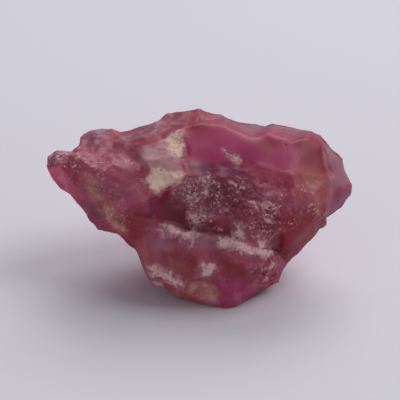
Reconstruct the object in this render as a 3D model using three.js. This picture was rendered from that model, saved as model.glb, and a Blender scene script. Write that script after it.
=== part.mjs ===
// A piece of rough ruby, about 20 mm long, as one closed solid.
//
// The stone is one broken crystal: a broad body that narrows to a tip on the left and to a wing on the right,
// standing on a smaller lobe whose underside is worn flat. It is drawn as two sheets that share one outline.
// The front sheet holds the corners of the broken faces towards -Y, and the back sheet holds those of the back
// and the underside. Both are triangulated on one drawing plane, so that each corner keeps the place it is given,
// and then split into small triangles and roughened.
//
// Frame: millimetres, +Z up, the front towards -Y, origin at the middle of the stone's box on its resting face.

import * as THREE from "three";
import { ImprovedNoise } from "three/addons/math/ImprovedNoise.js";

// Driving dimensions, in millimetres and degrees.
const DRAWING_PLANE_LEAN = 30; // how far the drawing plane leans back from upright
const LONGEST_EDGE = 0.8; // of a triangle in the finished solid
const EDGE_WEAR = 0.2; // share of the way that a point moves to the middle of its neighbours
const LUMP_SPACING = 1.7;
const LUMP_HEIGHT = 0.16;
const CHIP_SPACING = 0.75;
const CHIP_HEIGHT = 0.05;
const BASE_BLEND = 0.7; // height over which the roughness fades out towards the resting face
const RUBY_COLOUR = 0x8a3048;

// Corners on the drawing plane: [across, up, out towards the front]. The plane's foot is the front of the base.
const OUTLINE = [
  // the tip, over its top
  [-10.4, 9.5, -0.5], [-10.3, 10.2, -0.8], [-9.8, 10.6, -1.0], [-9.3, 10.6, -1.2], [-8.7, 10.6, -1.5],
  // the hump behind the tip
  [-8.3, 11.0, -1.9], [-8.2, 11.6, -2.5], [-8.0, 12.0, -2.8], [-7.5, 12.2, -3.1], [-6.6, 12.2, -3.3],
  // the long back edge up to the summit
  [-6.1, 11.9, -3.3], [-5.4, 11.9, -3.2], [-4.3, 12.3, -3.4], [-3.3, 12.5, -3.5], [-2.7, 12.7, -3.5],
  [-2.2, 13.0, -3.6], [-1.3, 13.2, -3.6], [-0.1, 13.5, -3.4],
  // the back edge down to the right shoulder
  [0.4, 13.3, -3.2], [1.7, 12.8, -2.9], [3.1, 12.5, -2.8], [4.4, 12.3, -2.9], [4.9, 12.5, -3.0],
  [5.5, 12.4, -3.0], [6.9, 12.0, -2.8], [8.2, 11.7, -2.6], [8.6, 11.3, -2.6],
  // the wing
  [9.1, 10.4, -2.8], [9.6, 10.1, -2.9], [9.9, 9.3, -2.9], [10.3, 8.3, -2.7], [10.2, 7.6, -2.6],
  [9.8, 7.1, -2.4], [9.2, 6.5, -2.1], [8.5, 6.0, -1.8], [8.5, 5.6, -1.5],
  // under the wing to the lobe
  [7.9, 5.4, -1.0], [7.8, 5.0, -0.7], [6.6, 3.7, -0.6], [5.8, 3.0, -0.9], [5.5, 2.5, -1.3],
  // the lobe's foot
  [5.4, 1.7, -1.7], [4.9, 1.5, -1.9], [4.1, 1.1, -1.6], [3.3, 0.6, -1.0], [2.3, 0.1, -0.1], [1.8, 0.0, 0.0],
  [1.0, 0.1, -0.1], [0.0, 0.3, -0.4], [-1.2, 0.6, -0.8], [-2.0, 1.0, -0.9],
  // up the lobe's left side
  [-2.9, 1.6, -0.7], [-3.4, 2.0, -0.6], [-3.9, 2.7, -0.2], [-4.2, 3.6, -0.1],
  // under the left half, back to the tip
  [-4.3, 3.9, -0.4], [-4.8, 4.1, -0.3], [-5.5, 5.0, 0.2], [-6.4, 5.1, 0.2], [-6.9, 5.2, 0.2], [-7.5, 5.8, 0.1],
  [-8.0, 6.7, -0.1], [-8.7, 7.5, -0.3], [-9.5, 8.1, -0.3], [-10.1, 8.7, -0.3],
];

const FRONT_CORNERS = [
  // tip and neck
  [-9.6, 9.8, 0.2], [-8.8, 10.2, -0.3], [-9.1, 8.9, 0.6], [-8.1, 10.1, 0.5], [-8.1, 8.1, 0.9],
  // hump behind the tip, and the crease below it
  [-7.0, 11.4, -2.2], [-5.9, 11.2, -1.9], [-7.4, 10.5, -0.7], [-6.4, 10.7, -0.9],
  // swollen face of the left half
  [-5.7, 9.8, 0.8], [-4.8, 10.8, -0.3], [-6.8, 9.4, 1.2], [-5.2, 8.5, 1.8], [-7.0, 7.3, 1.1], [-6.0, 7.2, 1.8],
  [-4.6, 7.3, 2.3], [-6.2, 6.1, 1.5], [-5.2, 5.6, 1.2], [-4.5, 6.1, 1.5], [-3.6, 5.3, 1.5], [-4.3, 4.6, 0.6],
  // red face above the pale patch
  [-4.5, 11.5, -1.6], [-3.2, 11.8, -1.3], [-2.0, 12.2, -1.5],
  // pale patch
  [-1.1, 12.0, 0.0], [-2.3, 11.3, 0.6], [-3.3, 11.2, 0.5], [-3.5, 10.2, 1.2], [-3.8, 9.2, 1.7], [-3.3, 8.2, 2.3],
  [-2.8, 7.6, 2.6], [-1.9, 8.3, 2.5], [-0.9, 8.9, 2.4], [-0.9, 10.3, 1.5], [-2.1, 9.7, 1.9],
  // step under the patch's broken edge
  [-2.5, 7.3, 1.8], [-1.8, 7.9, 1.7], [-0.6, 8.5, 1.9],
  // scalloped crest, and the step behind it
  [0.2, 12.3, -0.2], [1.7, 12.3, 0.0], [2.5, 11.9, 0.3], [3.0, 11.5, 0.6], [3.8, 11.4, 0.7], [4.5, 11.8, 0.4],
  [5.0, 11.4, 0.6], [6.0, 11.3, 0.5], [6.9, 11.5, 0.3], [3.1, 11.9, -0.7], [3.8, 11.8, -0.6], [4.6, 12.1, -1.2],
  // sharp corner between the front and the wing
  [7.5, 11.5, -0.1], [8.0, 11.1, 0.0], [8.2, 10.3, 0.2], [8.4, 9.4, 0.3], [8.6, 8.5, 0.4], [8.5, 7.5, 0.5],
  [8.2, 6.5, 0.4], [7.5, 5.6, 0.6],
  // step back to the wing
  [8.2, 11.2, -1.7], [8.4, 10.4, -1.4], [8.6, 9.4, -1.0], [8.8, 8.4, -0.7], [8.7, 7.6, -0.5],
  // wing, with a ridge across it
  [9.2, 9.8, -2.0], [9.3, 9.0, -1.5], [9.5, 8.1, -1.1], [9.0, 7.0, -1.1], [8.4, 5.8, -0.9],
  // smooth upper face
  [1.0, 10.9, 0.9], [2.7, 10.7, 1.1], [4.7, 10.4, 1.3], [6.7, 10.4, 0.9], [0.0, 9.6, 1.7], [1.9, 9.8, 1.7],
  [3.9, 9.5, 1.9], [5.9, 9.2, 1.8], [7.5, 8.9, 1.1],
  // rough middle
  [0.2, 8.7, 1.9], [1.2, 8.3, 2.2], [2.9, 7.6, 2.5], [4.4, 7.4, 2.5], [6.0, 7.6, 2.1], [7.5, 7.3, 1.4],
  [0.6, 7.0, 2.0], [2.0, 6.3, 2.4], [3.8, 5.8, 2.5], [5.3, 5.6, 2.1], [6.7, 5.3, 1.3], [6.0, 4.3, 0.9],
  // hollow under the pale patch
  [-3.0, 6.6, 1.8], [-2.0, 7.0, 1.2], [-1.2, 6.3, 0.8], [-2.2, 5.8, 1.1], [-3.2, 6.0, 2.0], [-1.0, 7.4, 1.6],
  [-0.5, 6.4, 1.4],
  // groove above the lobe, deep on the left and shallow on the right
  [-2.4, 5.5, 1.3], [-1.2, 5.4, 1.0], [-0.3, 5.4, 1.1], [0.5, 5.3, 1.3], [1.4, 5.1, 1.7], [2.3, 4.9, 2.0],
  [3.2, 4.6, 2.1], [4.3, 4.5, 1.8], [5.3, 4.0, 0.3],
  // ledge of the lobe
  [-3.0, 5.2, 1.9], [-1.8, 5.2, 2.0], [-0.9, 4.9, 2.1], [0.2, 5.0, 2.2], [1.1, 4.7, 2.3], [2.1, 4.4, 2.3],
  [3.3, 4.1, 2.4], [4.4, 4.0, 2.0],
  // pale bevel below the ledge
  [1.6, 3.9, 2.6], [3.0, 3.5, 2.6], [4.1, 3.3, 2.2], [5.0, 3.5, 1.0],
  // face of the lobe
  [-3.6, 4.2, 1.3], [-2.3, 4.1, 2.1], [-0.6, 3.9, 2.5], [-3.5, 2.9, 0.7], [-2.9, 2.3, 0.6], [-2.6, 2.9, 1.5],
  [-1.6, 2.1, 1.3], [-0.2, 2.4, 1.7], [0.5, 2.8, 2.2], [0.9, 2.2, 1.7], [1.8, 3.0, 2.1], [2.2, 2.0, 1.5],
  [3.4, 2.5, 1.5], [4.2, 2.2, 0.7], [3.8, 1.6, 0.6], [4.9, 2.1, -0.4], [-1.1, 1.4, 0.8], [0.2, 1.5, 1.3],
  [1.0, 0.8, 0.6], [-0.2, 0.8, 0.5], [2.0, 1.2, 0.9], [2.9, 0.9, 0.1],
];

// Corners of the back and the underside, and of the resting face, where they stand: [x, y, z].
const BACK_CORNERS = [
  // under the tip and the left half
  [-9.2, 6.6, 7.4], [-8.1, 6.9, 6.6], [-7.2, 7.9, 7.1], [-6.9, 6.2, 5.0], [-6.6, 8.4, 5.3], [-5.1, 5.4, 3.2],
  // left half of the back
  [-5.2, 9.4, 7.2], [-3.0, 10.1, 7.9], [-4.4, 9.2, 5.0], [-2.2, 10.4, 5.9], [-4.2, 7.2, 2.7],
  // rib down from the summit
  [0.3, 10.7, 8.3], [0.6, 10.9, 6.0], [0.2, 9.9, 3.4],
  // right half of the back
  [3.0, 10.0, 7.6], [5.4, 9.4, 7.8], [3.2, 9.5, 4.8], [6.3, 8.8, 5.2], [7.7, 8.6, 7.0], [8.7, 7.8, 5.8],
  // under the wing
  [8.0, 6.3, 4.6], [6.6, 6.9, 3.3], [6.3, 4.9, 2.7], [4.8, 7.9, 2.4],
  // down to the resting face
  [-2.7, 7.4, 1.3], [-1.2, 8.5, 1.9], [2.3, 8.4, 1.7], [5.2, 5.6, 1.2], [-2.6, 4.9, 0.9],
];
const BASE_CORNERS = [
  [-1.9, 3.9, 0], [-1.5, 5.6, 0], [0.0, 6.8, 0], [2.2, 7.0, 0], [3.8, 5.8, 0], [4.1, 3.9, 0], [3.0, 2.0, 0],
  [0.3, 1.0, 0], [-0.9, 2.3, 0],
];

const lean = THREE.MathUtils.degToRad(DRAWING_PLANE_LEAN);

function standing([across, up, out]) {
  return new THREE.Vector3(
    across,
    up * Math.sin(lean) - out * Math.cos(lean),
    up * Math.cos(lean) + out * Math.sin(lean),
  );
}

function onPlane(point) {
  return new THREE.Vector2(point.x, point.y * Math.sin(lean) + point.z * Math.cos(lean));
}

// Twice the signed area of a triangle on the drawing plane.
function turn(a, b, c) {
  return (b.x - a.x) * (c.y - a.y) - (b.y - a.y) * (c.x - a.x);
}

// True if d lies inside the circle through a, b and c.
function inCircle(a, b, c, d) {
  const rows = [a, b, c].map((p) => [p.x - d.x, p.y - d.y, (p.x - d.x) ** 2 + (p.y - d.y) ** 2]);
  const [[ax, ay, aw], [bx, by, bw], [cx, cy, cw]] = rows;
  return ax * (by * cw - bw * cy) - ay * (bx * cw - bw * cx) + aw * (bx * cy - by * cx) > 1e-9;
}

// Triangles over an outline and the points inside it, as indices into plane, whose first rimCount points are
// the outline. Each inner point splits the triangle it falls in, and then every inner edge that has a better
// way across is turned.
function triangulate(plane, rimCount) {
  const faces = THREE.ShapeUtils.triangulateShape(plane.slice(0, rimCount), []).map((face) =>
    turn(...face.map((i) => plane[i])) < 0 ? face.reverse() : face,
  );
  for (let p = rimCount; p < plane.length; p++) {
    const home = faces.findIndex((face) =>
      face.every((a, k) => turn(plane[a], plane[face[(k + 1) % 3]], plane[p]) >= 0),
    );
    if (home < 0) throw new Error(`corner ${p - rimCount} lies outside the outline`);
    const [a, b, c] = faces.splice(home, 1)[0];
    faces.push([a, b, p], [b, c, p], [c, a, p]);
    while (turnOneEdge(faces, plane));
  }
  return faces;
}

// Turns the first inner edge that isn't the best diagonal of its two triangles. False when there is none.
function turnOneEdge(faces, plane) {
  const edges = new Map();
  for (let f = 0; f < faces.length; f++) {
    for (let k = 0; k < 3; k++) {
      const [a, b, c] = [faces[f][k], faces[f][(k + 1) % 3], faces[f][(k + 2) % 3]];
      const other = edges.get(`${b},${a}`);
      edges.set(`${a},${b}`, { f, apex: c });
      if (!other) continue;
      const d = other.apex;
      if (!inCircle(plane[a], plane[b], plane[c], plane[d])) continue;
      if (turn(plane[c], plane[a], plane[d]) <= 0 || turn(plane[d], plane[b], plane[c]) <= 0) continue;
      faces[f] = [c, a, d];
      faces[other.f] = [d, b, c];
      return true;
    }
  }
  return false;
}

// Splits every edge longer than the limit at its middle until none is left.
function splitLongEdges(points, faces, limit) {
  for (;;) {
    const middles = new Map();
    const middle = (a, b) => {
      const key = a < b ? `${a},${b}` : `${b},${a}`;
      if (points[a].distanceTo(points[b]) <= limit) return -1;
      if (!middles.has(key)) {
        middles.set(key, points.length);
        points.push(points[a].clone().lerp(points[b], 0.5));
      }
      return middles.get(key);
    };
    const split = faces.flatMap(([a, b, c]) => splitFace([a, b, c], [middle(a, b), middle(b, c), middle(c, a)]));
    if (!middles.size) return faces;
    faces = split;
  }
}

// The triangles that one face leaves when some of its edges have a middle point; -1 is none.
function splitFace(face, middles) {
  const count = middles.filter((m) => m >= 0).length;
  if (count === 0) return [face];
  // Turned so that the first edge is split, and the last isn't unless all are.
  const first = [0, 1, 2].find((k) => middles[k] >= 0 && (count === 3 || middles[(k + 2) % 3] < 0));
  const [a, b, c] = [0, 1, 2].map((k) => face[(first + k) % 3]);
  const [ab, bc, ca] = [0, 1, 2].map((k) => middles[(first + k) % 3]);
  if (count === 1) return [[a, ab, c], [ab, b, c]];
  if (count === 2) return [[ab, b, bc], [a, ab, bc], [a, bc, c]];
  return [[a, ab, ca], [ab, b, bc], [ca, bc, c], [ab, bc, ca]];
}

// Wears the edges: each point goes part of the way to the middle of its neighbours. The resting face stays.
function wear(points, faces, share) {
  const sums = points.map(() => new THREE.Vector3());
  const counts = points.map(() => 0);
  for (const face of faces) {
    for (let k = 0; k < 3; k++) {
      sums[face[k]].add(points[face[(k + 1) % 3]]);
      counts[face[k]] += 1;
    }
  }
  points.forEach((point, i) => {
    if (point.z > 1e-6) point.lerp(sums[i].divideScalar(counts[i]), share);
  });
}

// Moves each point in or out along its normal by two sizes of noise, fading out towards the resting face.
function roughen(points, faces) {
  const noise = new ImprovedNoise();
  const normals = points.map(() => new THREE.Vector3());
  for (const face of faces) {
    const [a, b, c] = face.map((i) => points[i]);
    const normal = b.clone().sub(a).cross(c.clone().sub(a));
    face.forEach((i) => normals[i].add(normal));
  }
  const at = (p, spacing) => noise.noise(p.x / spacing, p.y / spacing, p.z / spacing);
  points.forEach((point, i) => {
    const height = LUMP_HEIGHT * at(point, LUMP_SPACING) + CHIP_HEIGHT * at(point, CHIP_SPACING);
    const fade = THREE.MathUtils.smoothstep(point.z, 0, BASE_BLEND);
    point.addScaledVector(normals[i].normalize(), height * fade);
    point.z = Math.max(point.z, 0);
  });
}

function rubyGeometry() {
  const rim = OUTLINE.map(standing);
  const front = FRONT_CORNERS.map(standing);
  const back = [...BACK_CORNERS, ...BASE_CORNERS].map((corner) => new THREE.Vector3(...corner));
  const points = [...rim, ...front, ...back];

  const frontFaces = triangulate([...rim, ...front].map(onPlane), rim.length);
  const place = (i) => (i < rim.length ? i : i + front.length);
  const backFaces = triangulate([...rim, ...back].map(onPlane), rim.length).map(([a, b, c]) =>
    [a, c, b].map(place),
  );

  const faces = splitLongEdges(points, [...frontFaces, ...backFaces], LONGEST_EDGE);
  wear(points, faces, EDGE_WEAR);
  roughen(points, faces);

  const geometry = new THREE.BufferGeometry().setFromPoints(points).setIndex(faces.flat());
  geometry.computeBoundingBox();
  const middle = geometry.boundingBox.getCenter(new THREE.Vector3());
  geometry.translate(-middle.x, -middle.y, -geometry.boundingBox.min.z);
  geometry.computeVertexNormals();
  return geometry;
}

const ruby = new THREE.Mesh(
  rubyGeometry(),
  new THREE.MeshStandardMaterial({ color: RUBY_COLOUR, roughness: 0.4, metalness: 0 }),
);
ruby.name = "ruby_crystal";

const stone = new THREE.Group();
stone.add(ruby);

export default stone;
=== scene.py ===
"""A piece of rough ruby: the broken surface, its mixed colours, and a pale stage with soft light.

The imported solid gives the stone's place and main faces. The stone operator remeshes a copy of it finely,
breaks its surface into shells, steps and grains, and colours it. Lengths are in millimetres, except for the
places and sizes of the stage's floor and lights and the reach of its camera, which are in metres.
"""

import math
from itertools import product

import bpy
import numpy as np
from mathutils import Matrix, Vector


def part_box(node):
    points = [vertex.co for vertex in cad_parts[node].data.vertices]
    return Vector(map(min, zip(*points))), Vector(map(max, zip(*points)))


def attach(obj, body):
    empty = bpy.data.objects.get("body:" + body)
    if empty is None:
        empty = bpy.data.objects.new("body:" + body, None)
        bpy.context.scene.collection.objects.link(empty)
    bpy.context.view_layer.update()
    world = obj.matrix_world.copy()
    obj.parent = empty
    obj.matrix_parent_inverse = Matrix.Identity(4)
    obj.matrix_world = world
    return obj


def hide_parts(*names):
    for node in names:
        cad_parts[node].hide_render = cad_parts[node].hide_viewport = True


bl_info = {
    "name": "Rough ruby",
    "version": (1, 0, 0),
    "blender": (4, 5, 0),
    "location": "View3D > Sidebar > Rough ruby",
    "description": "Breaks, colours and stages a piece of rough ruby around its packed solid",
    "category": "Object",
}

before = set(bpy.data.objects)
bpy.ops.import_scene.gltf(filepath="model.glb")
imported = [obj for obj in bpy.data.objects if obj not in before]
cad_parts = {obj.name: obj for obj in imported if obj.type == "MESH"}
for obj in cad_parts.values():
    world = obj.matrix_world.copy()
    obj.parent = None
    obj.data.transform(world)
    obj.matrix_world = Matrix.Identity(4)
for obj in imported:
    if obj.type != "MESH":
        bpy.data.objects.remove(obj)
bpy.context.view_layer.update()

NODE = "ruby_crystal"
BODY = "root"
MM_PER_M = 1000.0
LOW, HIGH = (MM_PER_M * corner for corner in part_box(NODE))

# The drawing plane leans back from upright. Its foot stands a little behind the front of the stone's box.
LEAN = math.radians(30)
FOOT_SETBACK = 0.44
FOOT = Vector(((LOW.x + HIGH.x) / 2, LOW.y + FOOT_SETBACK, 0.0))

# Finishes that lie over the plain ruby.
FINISHES = (
    "frost", "magenta", "garnet", "plum", "wine", "rust", "tan", "mauve", "blush", "glow", "sugar", "veil",
    "crust", "rough", "polish", "specks",
)

# Areas on the front: [finish, how far it stands proud, outline on the drawing plane as (across, up)].
FRONT_AREAS = (
    # the pale crust: thin all over, thick at its upper right and along its bottom
    ("veil", 0.05, (
        (-1.1, 12.0), (-2.0, 11.8), (-2.6, 11.4), (-3.1, 11.0), (-3.9, 10.8), (-3.8, 9.9), (-3.4, 9.1),
        (-3.7, 8.6), (-3.3, 7.9), (-2.7, 7.5), (-2.5, 8.0), (-1.9, 8.2), (-1.2, 8.5), (-1.1, 9.1),
        (-1.3, 9.8), (-1.1, 10.6), (-1.1, 11.4),
    )),
    ("crust", 0.02, (
        (-2.3, 11.5), (-1.9, 11.8), (-1.1, 12.0), (-1.1, 11.3), (-1.1, 10.1), (-1.7, 10.1), (-2.3, 10.8),
    )),
    ("crust", 0.03, (
        (-3.6, 8.6), (-3.2, 9.3), (-2.6, 9.4), (-1.9, 9.0), (-1.1, 9.2), (-1.0, 8.7), (-1.9, 8.2),
        (-2.4, 8.0), (-2.7, 7.5), (-3.3, 7.9),
    )),
    # frosted skin: left body, lobe, lobe's upper left, right of the rough middle
    ("frost", 0.0, (
        (-8.4, 10.5), (-7.1, 11.3), (-4.6, 11.4), (-3.3, 10.6), (-3.3, 7.9), (-4.3, 6.9), (-5.3, 6.2),
        (-6.3, 7.5), (-7.7, 8.6), (-8.7, 9.5),
    )),
    ("frost", 0.0, (
        (-3.6, 4.3), (-2.0, 4.3), (0.6, 4.4), (2.6, 3.6), (4.1, 3.2), (3.8, 1.6), (1.2, 2.0), (-0.8, 2.2),
        (-2.6, 1.8), (-3.4, 2.4),
    )),
    ("frost", 0.0, ((-4.0, 5.0), (-3.0, 5.3), (-1.8, 5.0), (-1.8, 3.9), (-3.7, 4.0))),
    ("frost", 0.0, ((4.5, 7.9), (6.2, 7.8), (6.7, 6.9), (5.8, 6.2), (4.7, 6.6))),
    # magenta: upper face, lobe's lower right
    ("magenta", 0.0, (
        (-0.9, 11.9), (0.9, 12.5), (3.0, 11.5), (4.7, 11.8), (6.7, 11.3), (7.5, 11.3), (7.9, 10.3),
        (6.7, 9.6), (4.1, 9.6), (3.0, 9.9), (1.7, 9.6), (0.3, 9.3), (-0.7, 9.6), (-0.9, 10.6),
    )),
    ("magenta", 0.0, (
        (1.0, 2.3), (2.7, 1.9), (4.1, 1.3), (3.3, 0.6), (2.0, 0.0), (0.3, 0.3), (0.0, 0.7), (0.8, 1.3),
    )),
    # garnet, upper part: crest's left, crest, upper face, upper face's right end
    ("garnet", 0.0, ((-4.6, 11.6), (-3.4, 11.9), (-2.2, 12.2), (-2.0, 11.9), (-2.7, 11.4), (-4.4, 11.1))),
    ("garnet", 0.0, ((-0.8, 12.5), (0.4, 12.5), (0.7, 11.9), (-0.3, 11.6))),
    ("garnet", 0.0, ((3.8, 11.3), (5.0, 11.2), (5.2, 10.7), (4.2, 10.5))),
    ("garnet", 0.0, ((6.2, 11.3), (7.6, 11.4), (8.4, 11.0), (8.4, 9.4), (7.6, 9.3), (6.9, 9.8), (6.4, 10.4))),
    # garnet, lower part: left facet, groove, right foot
    ("garnet", 0.0, (
        (-4.9, 6.6), (-3.3, 6.2), (-3.1, 5.5), (-3.9, 4.6), (-4.1, 3.9), (-4.8, 4.4), (-5.4, 5.2),
    )),
    ("garnet", 0.0, ((0.8, 5.7), (2.3, 5.8), (2.6, 5.1), (1.5, 4.9))),
    ("garnet", 0.0, (
        (5.0, 6.2), (6.6, 6.8), (8.4, 7.0), (8.6, 5.6), (7.5, 4.2), (6.7, 3.4), (5.4, 3.4), (4.7, 4.3),
        (4.4, 5.2),
    )),
    # garnet on the lobe: left edge, left, right, lower middle, lower left
    ("garnet", 0.0, ((-4.3, 4.4), (-3.4, 3.8), (-3.1, 2.9), (-3.9, 2.9))),
    ("garnet", 0.0, (
        (-2.6, 3.8), (-0.8, 3.9), (0.0, 3.4), (0.0, 2.2), (-0.9, 1.9), (-1.5, 2.5), (-2.4, 3.2),
    )),
    ("garnet", 0.0, ((1.2, 3.9), (3.0, 3.3), (3.1, 1.9), (1.5, 2.2))),
    ("garnet", 0.0, ((-1.3, 2.2), (1.2, 2.3), (1.3, 1.5), (0.6, 1.4), (-0.9, 1.5))),
    ("garnet", 0.0, ((-2.5, 1.6), (-1.4, 1.6), (-0.6, 1.0), (-1.0, 0.5), (-2.0, 0.8))),
    # plum: wing's lower end, hump, below the lower left edge (painted shade there), top of the rough middle
    ("plum", 0.0, ((8.7, 7.5), (10.2, 8.4), (10.5, 7.6), (9.4, 6.2), (8.4, 6.2))),
    ("plum", 0.0, ((-8.1, 11.5), (-7.6, 12.1), (-6.5, 12.2), (-6.0, 11.7), (-6.6, 11.2), (-7.6, 11.0))),
    ("plum", 0.0, ((-7.9, 6.9), (-7.0, 7.2), (-6.2, 6.3), (-5.9, 5.2), (-7.3, 5.7))),
    ("plum", 0.0, ((-1.4, 8.3), (0.2, 9.6), (2.0, 9.7), (3.1, 9.0), (3.4, 7.2), (1.6, 6.2), (-0.3, 6.6))),
    # rust: lower left edge, right edge, lobe's left edge, lobe's left, lobe's lower left
    ("rust", 0.0, ((-7.9, 8.6), (-6.9, 8.6), (-5.6, 6.8), (-4.8, 5.2), (-5.4, 5.2), (-6.8, 6.6))),
    ("rust", 0.0, (
        (6.4, 9.4), (8.0, 9.3), (8.5, 8.4), (8.4, 7.2), (7.9, 6.2), (7.3, 6.9), (6.9, 7.6), (6.5, 8.4),
    )),
    ("rust", 0.0, ((-4.2, 4.5), (-3.5, 3.7), (-3.3, 2.9), (-3.8, 3.0))),
    ("rust", 0.0, ((-2.4, 3.3), (-1.4, 3.4), (-0.8, 2.6), (-1.4, 2.3))),
    ("rust", 0.0, ((-2.4, 1.6), (-1.4, 1.5), (-0.6, 0.9), (-1.0, 0.6), (-1.9, 0.9))),
    # tan: two places on the lower left edge, right edge, lobe's bottom
    ("tan", 0.0, ((-7.4, 8.2), (-6.9, 8.0), (-6.5, 7.3), (-6.9, 7.1), (-7.3, 7.7))),
    ("tan", 0.0, ((-6.3, 6.9), (-5.8, 6.7), (-5.2, 5.8), (-4.8, 5.1), (-5.2, 5.2), (-6.0, 5.8))),
    ("tan", 0.0, ((7.0, 8.9), (7.9, 8.9), (8.1, 8.3), (7.3, 8.2))),
    ("tan", -0.04, ((-0.9, 1.8), (0.6, 1.8), (1.2, 1.1), (1.1, 0.5), (0.1, 0.5), (-0.6, 1.0))),
    # mauve: hump, strip behind the crest on its left and right, band on the upper face, wing (partly painted
    # sheen on the strip and the wing)
    ("mauve", 0.0, ((-7.9, 11.9), (-6.6, 12.3), (-6.4, 11.8), (-7.4, 11.4))),
    ("mauve", 0.0, ((-5.6, 11.4), (-3.6, 12.3), (-1.2, 13.1), (-0.6, 12.9), (-3.0, 11.9), (-5.0, 11.1))),
    ("mauve", 0.0, (
        (0.9, 12.9), (8.2, 11.9), (7.5, 11.8), (5.9, 11.8), (4.7, 12.1), (4.2, 12.1), (3.6, 11.7),
        (2.9, 11.8), (2.4, 12.2),
    )),
    ("mauve", 0.0, ((-0.9, 10.0), (0.3, 9.9), (0.5, 9.5), (-0.9, 9.5))),
    ("mauve", 0.0, ((8.5, 11.4), (9.3, 10.8), (10.4, 8.9), (10.2, 8.5), (8.8, 7.7), (8.7, 9.0), (8.5, 10.3))),
    # mauve: lobe's ledge, lobe's upper left
    ("mauve", 0.0, (
        (-3.6, 5.4), (-2.3, 5.7), (-1.0, 5.4), (0.0, 5.2), (1.0, 4.9), (2.1, 4.7), (2.1, 4.1), (1.0, 4.0),
        (-0.7, 4.2), (-1.7, 4.8), (-2.6, 5.2),
    )),
    ("mauve", 0.0, ((-3.2, 4.8), (-2.2, 4.8), (-1.6, 4.2), (-2.3, 3.8), (-3.1, 4.0))),
    # wine: painted shade in the hollow and the groove
    ("wine", 0.0, (
        (-3.8, 7.1), (-2.8, 7.5), (-2.3, 7.9), (-1.4, 8.0), (-0.9, 7.2), (-0.7, 6.3), (-1.0, 5.5),
        (-2.0, 5.5), (-2.8, 5.7), (-3.5, 6.1),
    )),
    ("wine", 0.0, ((0.0, 5.8), (1.7, 5.6), (2.3, 5.2), (1.5, 4.9), (0.0, 5.2), (-0.8, 5.4))),
    # painted glow on the tip, in place of the light that shines through it
    ("glow", 0.0, ((-10.2, 9.4), (-9.4, 9.4), (-8.7, 8.7), (-8.9, 8.1), (-9.6, 8.4), (-10.1, 8.9))),
    # pale broken edges of the lobe's ledge
    ("blush", 0.05, (
        (1.1, 4.9), (1.8, 4.8), (2.5, 4.5), (3.3, 4.3), (4.2, 4.2), (4.9, 4.1), (5.0, 3.8), (4.4, 3.6),
        (3.4, 3.7), (2.4, 3.9), (1.3, 4.2),
    )),
    ("blush", 0.05, ((-1.2, 5.3), (-0.4, 5.3), (-0.1, 4.9), (-0.5, 4.4), (-1.2, 4.5))),
    ("blush", 0.03, ((2.2, 5.9), (2.9, 5.8), (2.9, 5.2), (3.2, 4.6), (2.6, 4.5), (2.3, 5.2))),
    ("blush", 0.03, ((3.8, 4.9), (4.5, 4.6), (4.5, 4.1), (3.9, 4.1))),
    ("blush", 0.02, ((-2.6, 5.6), (-1.8, 5.6), (-1.1, 5.0), (-1.6, 4.8), (-2.3, 5.0))),
    # pale chips and knobs low on the lobe, a chip on the upper face
    ("blush", 0.08, ((0.1, 3.0), (0.7, 3.1), (1.0, 2.7), (0.6, 2.1), (0.1, 2.3))),
    ("blush", 0.06, ((-3.5, 2.8), (-3.0, 3.0), (-2.4, 2.7), (-2.5, 2.2), (-3.1, 2.1))),
    ("blush", 0.06, ((-2.5, 2.7), (-1.9, 2.5), (-1.0, 1.7), (-1.4, 1.5), (-2.1, 1.9), (-2.6, 2.2))),
    ("blush", 0.04, ((-3.2, 2.0), (-2.5, 2.0), (-2.4, 1.6), (-3.0, 1.6))),
    ("blush", -0.04, ((1.7, 10.5), (2.1, 9.8), (2.6, 9.6), (2.5, 10.1), (2.1, 10.4))),
    # sugary breaks: tip, beside the hollow
    ("sugar", 0.0, ((-10.4, 9.6), (-10.2, 10.6), (-9.0, 10.8), (-8.6, 10.2), (-9.4, 9.7))),
    ("sugar", 0.0, (
        (-1.9, 7.8), (-0.9, 8.6), (0.4, 8.9), (0.8, 8.3), (0.2, 7.3), (0.6, 6.3), (0.2, 5.1), (-0.6, 5.0),
        (-0.5, 6.3), (-1.1, 7.3),
    )),
    # fine specks on the left: tip and left body, lower left edge, beside the crust
    ("specks", 0.0, (
        (-10.3, 9.6), (-9.6, 10.8), (-8.2, 10.8), (-6.6, 10.4), (-5.6, 9.6), (-6.6, 8.3), (-8.2, 8.5),
        (-9.2, 9.0),
    )),
    ("specks", 0.0, (
        (-7.2, 8.6), (-6.2, 8.4), (-5.2, 6.9), (-4.4, 5.6), (-4.7, 5.0), (-5.8, 5.8), (-6.8, 7.0),
    )),
    ("specks", 0.0, ((-5.2, 10.6), (-3.2, 10.6), (-3.2, 8.0), (-4.6, 8.4))),
    # fine specks on the right, about the end of the rough middle
    ("specks", 0.0, ((4.2, 8.9), (5.8, 8.9), (6.4, 7.6), (5.2, 7.2), (4.4, 7.8))),
    ("specks", 0.0, ((4.0, 6.5), (6.2, 6.7), (6.6, 5.9), (5.6, 5.3), (4.2, 5.2))),
    ("specks", 0.0, ((6.4, 8.2), (7.9, 7.9), (7.8, 6.4), (6.8, 6.0), (5.9, 5.8), (5.6, 6.8))),
    # rough breaks: the middle with the grainy part beside the hollow, the lobe's right end
    ("rough", 0.0, (
        (-0.7, 8.6), (1.0, 8.5), (2.6, 8.9), (3.8, 8.6), (4.6, 8.0), (5.0, 7.2), (5.5, 6.7), (5.5, 5.9),
        (5.0, 5.4), (4.5, 4.9), (4.1, 4.7), (2.0, 4.9), (0.3, 5.4), (-0.9, 5.2), (-0.7, 6.3), (-1.6, 7.6),
    )),
    ("rough", 0.0, ((3.2, 3.4), (5.2, 3.6), (5.3, 1.8), (4.2, 1.3), (3.2, 2.0))),
    # smooth breaks: upper face, hollow, left facet, wing, right foot
    ("polish", 0.0, (
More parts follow.
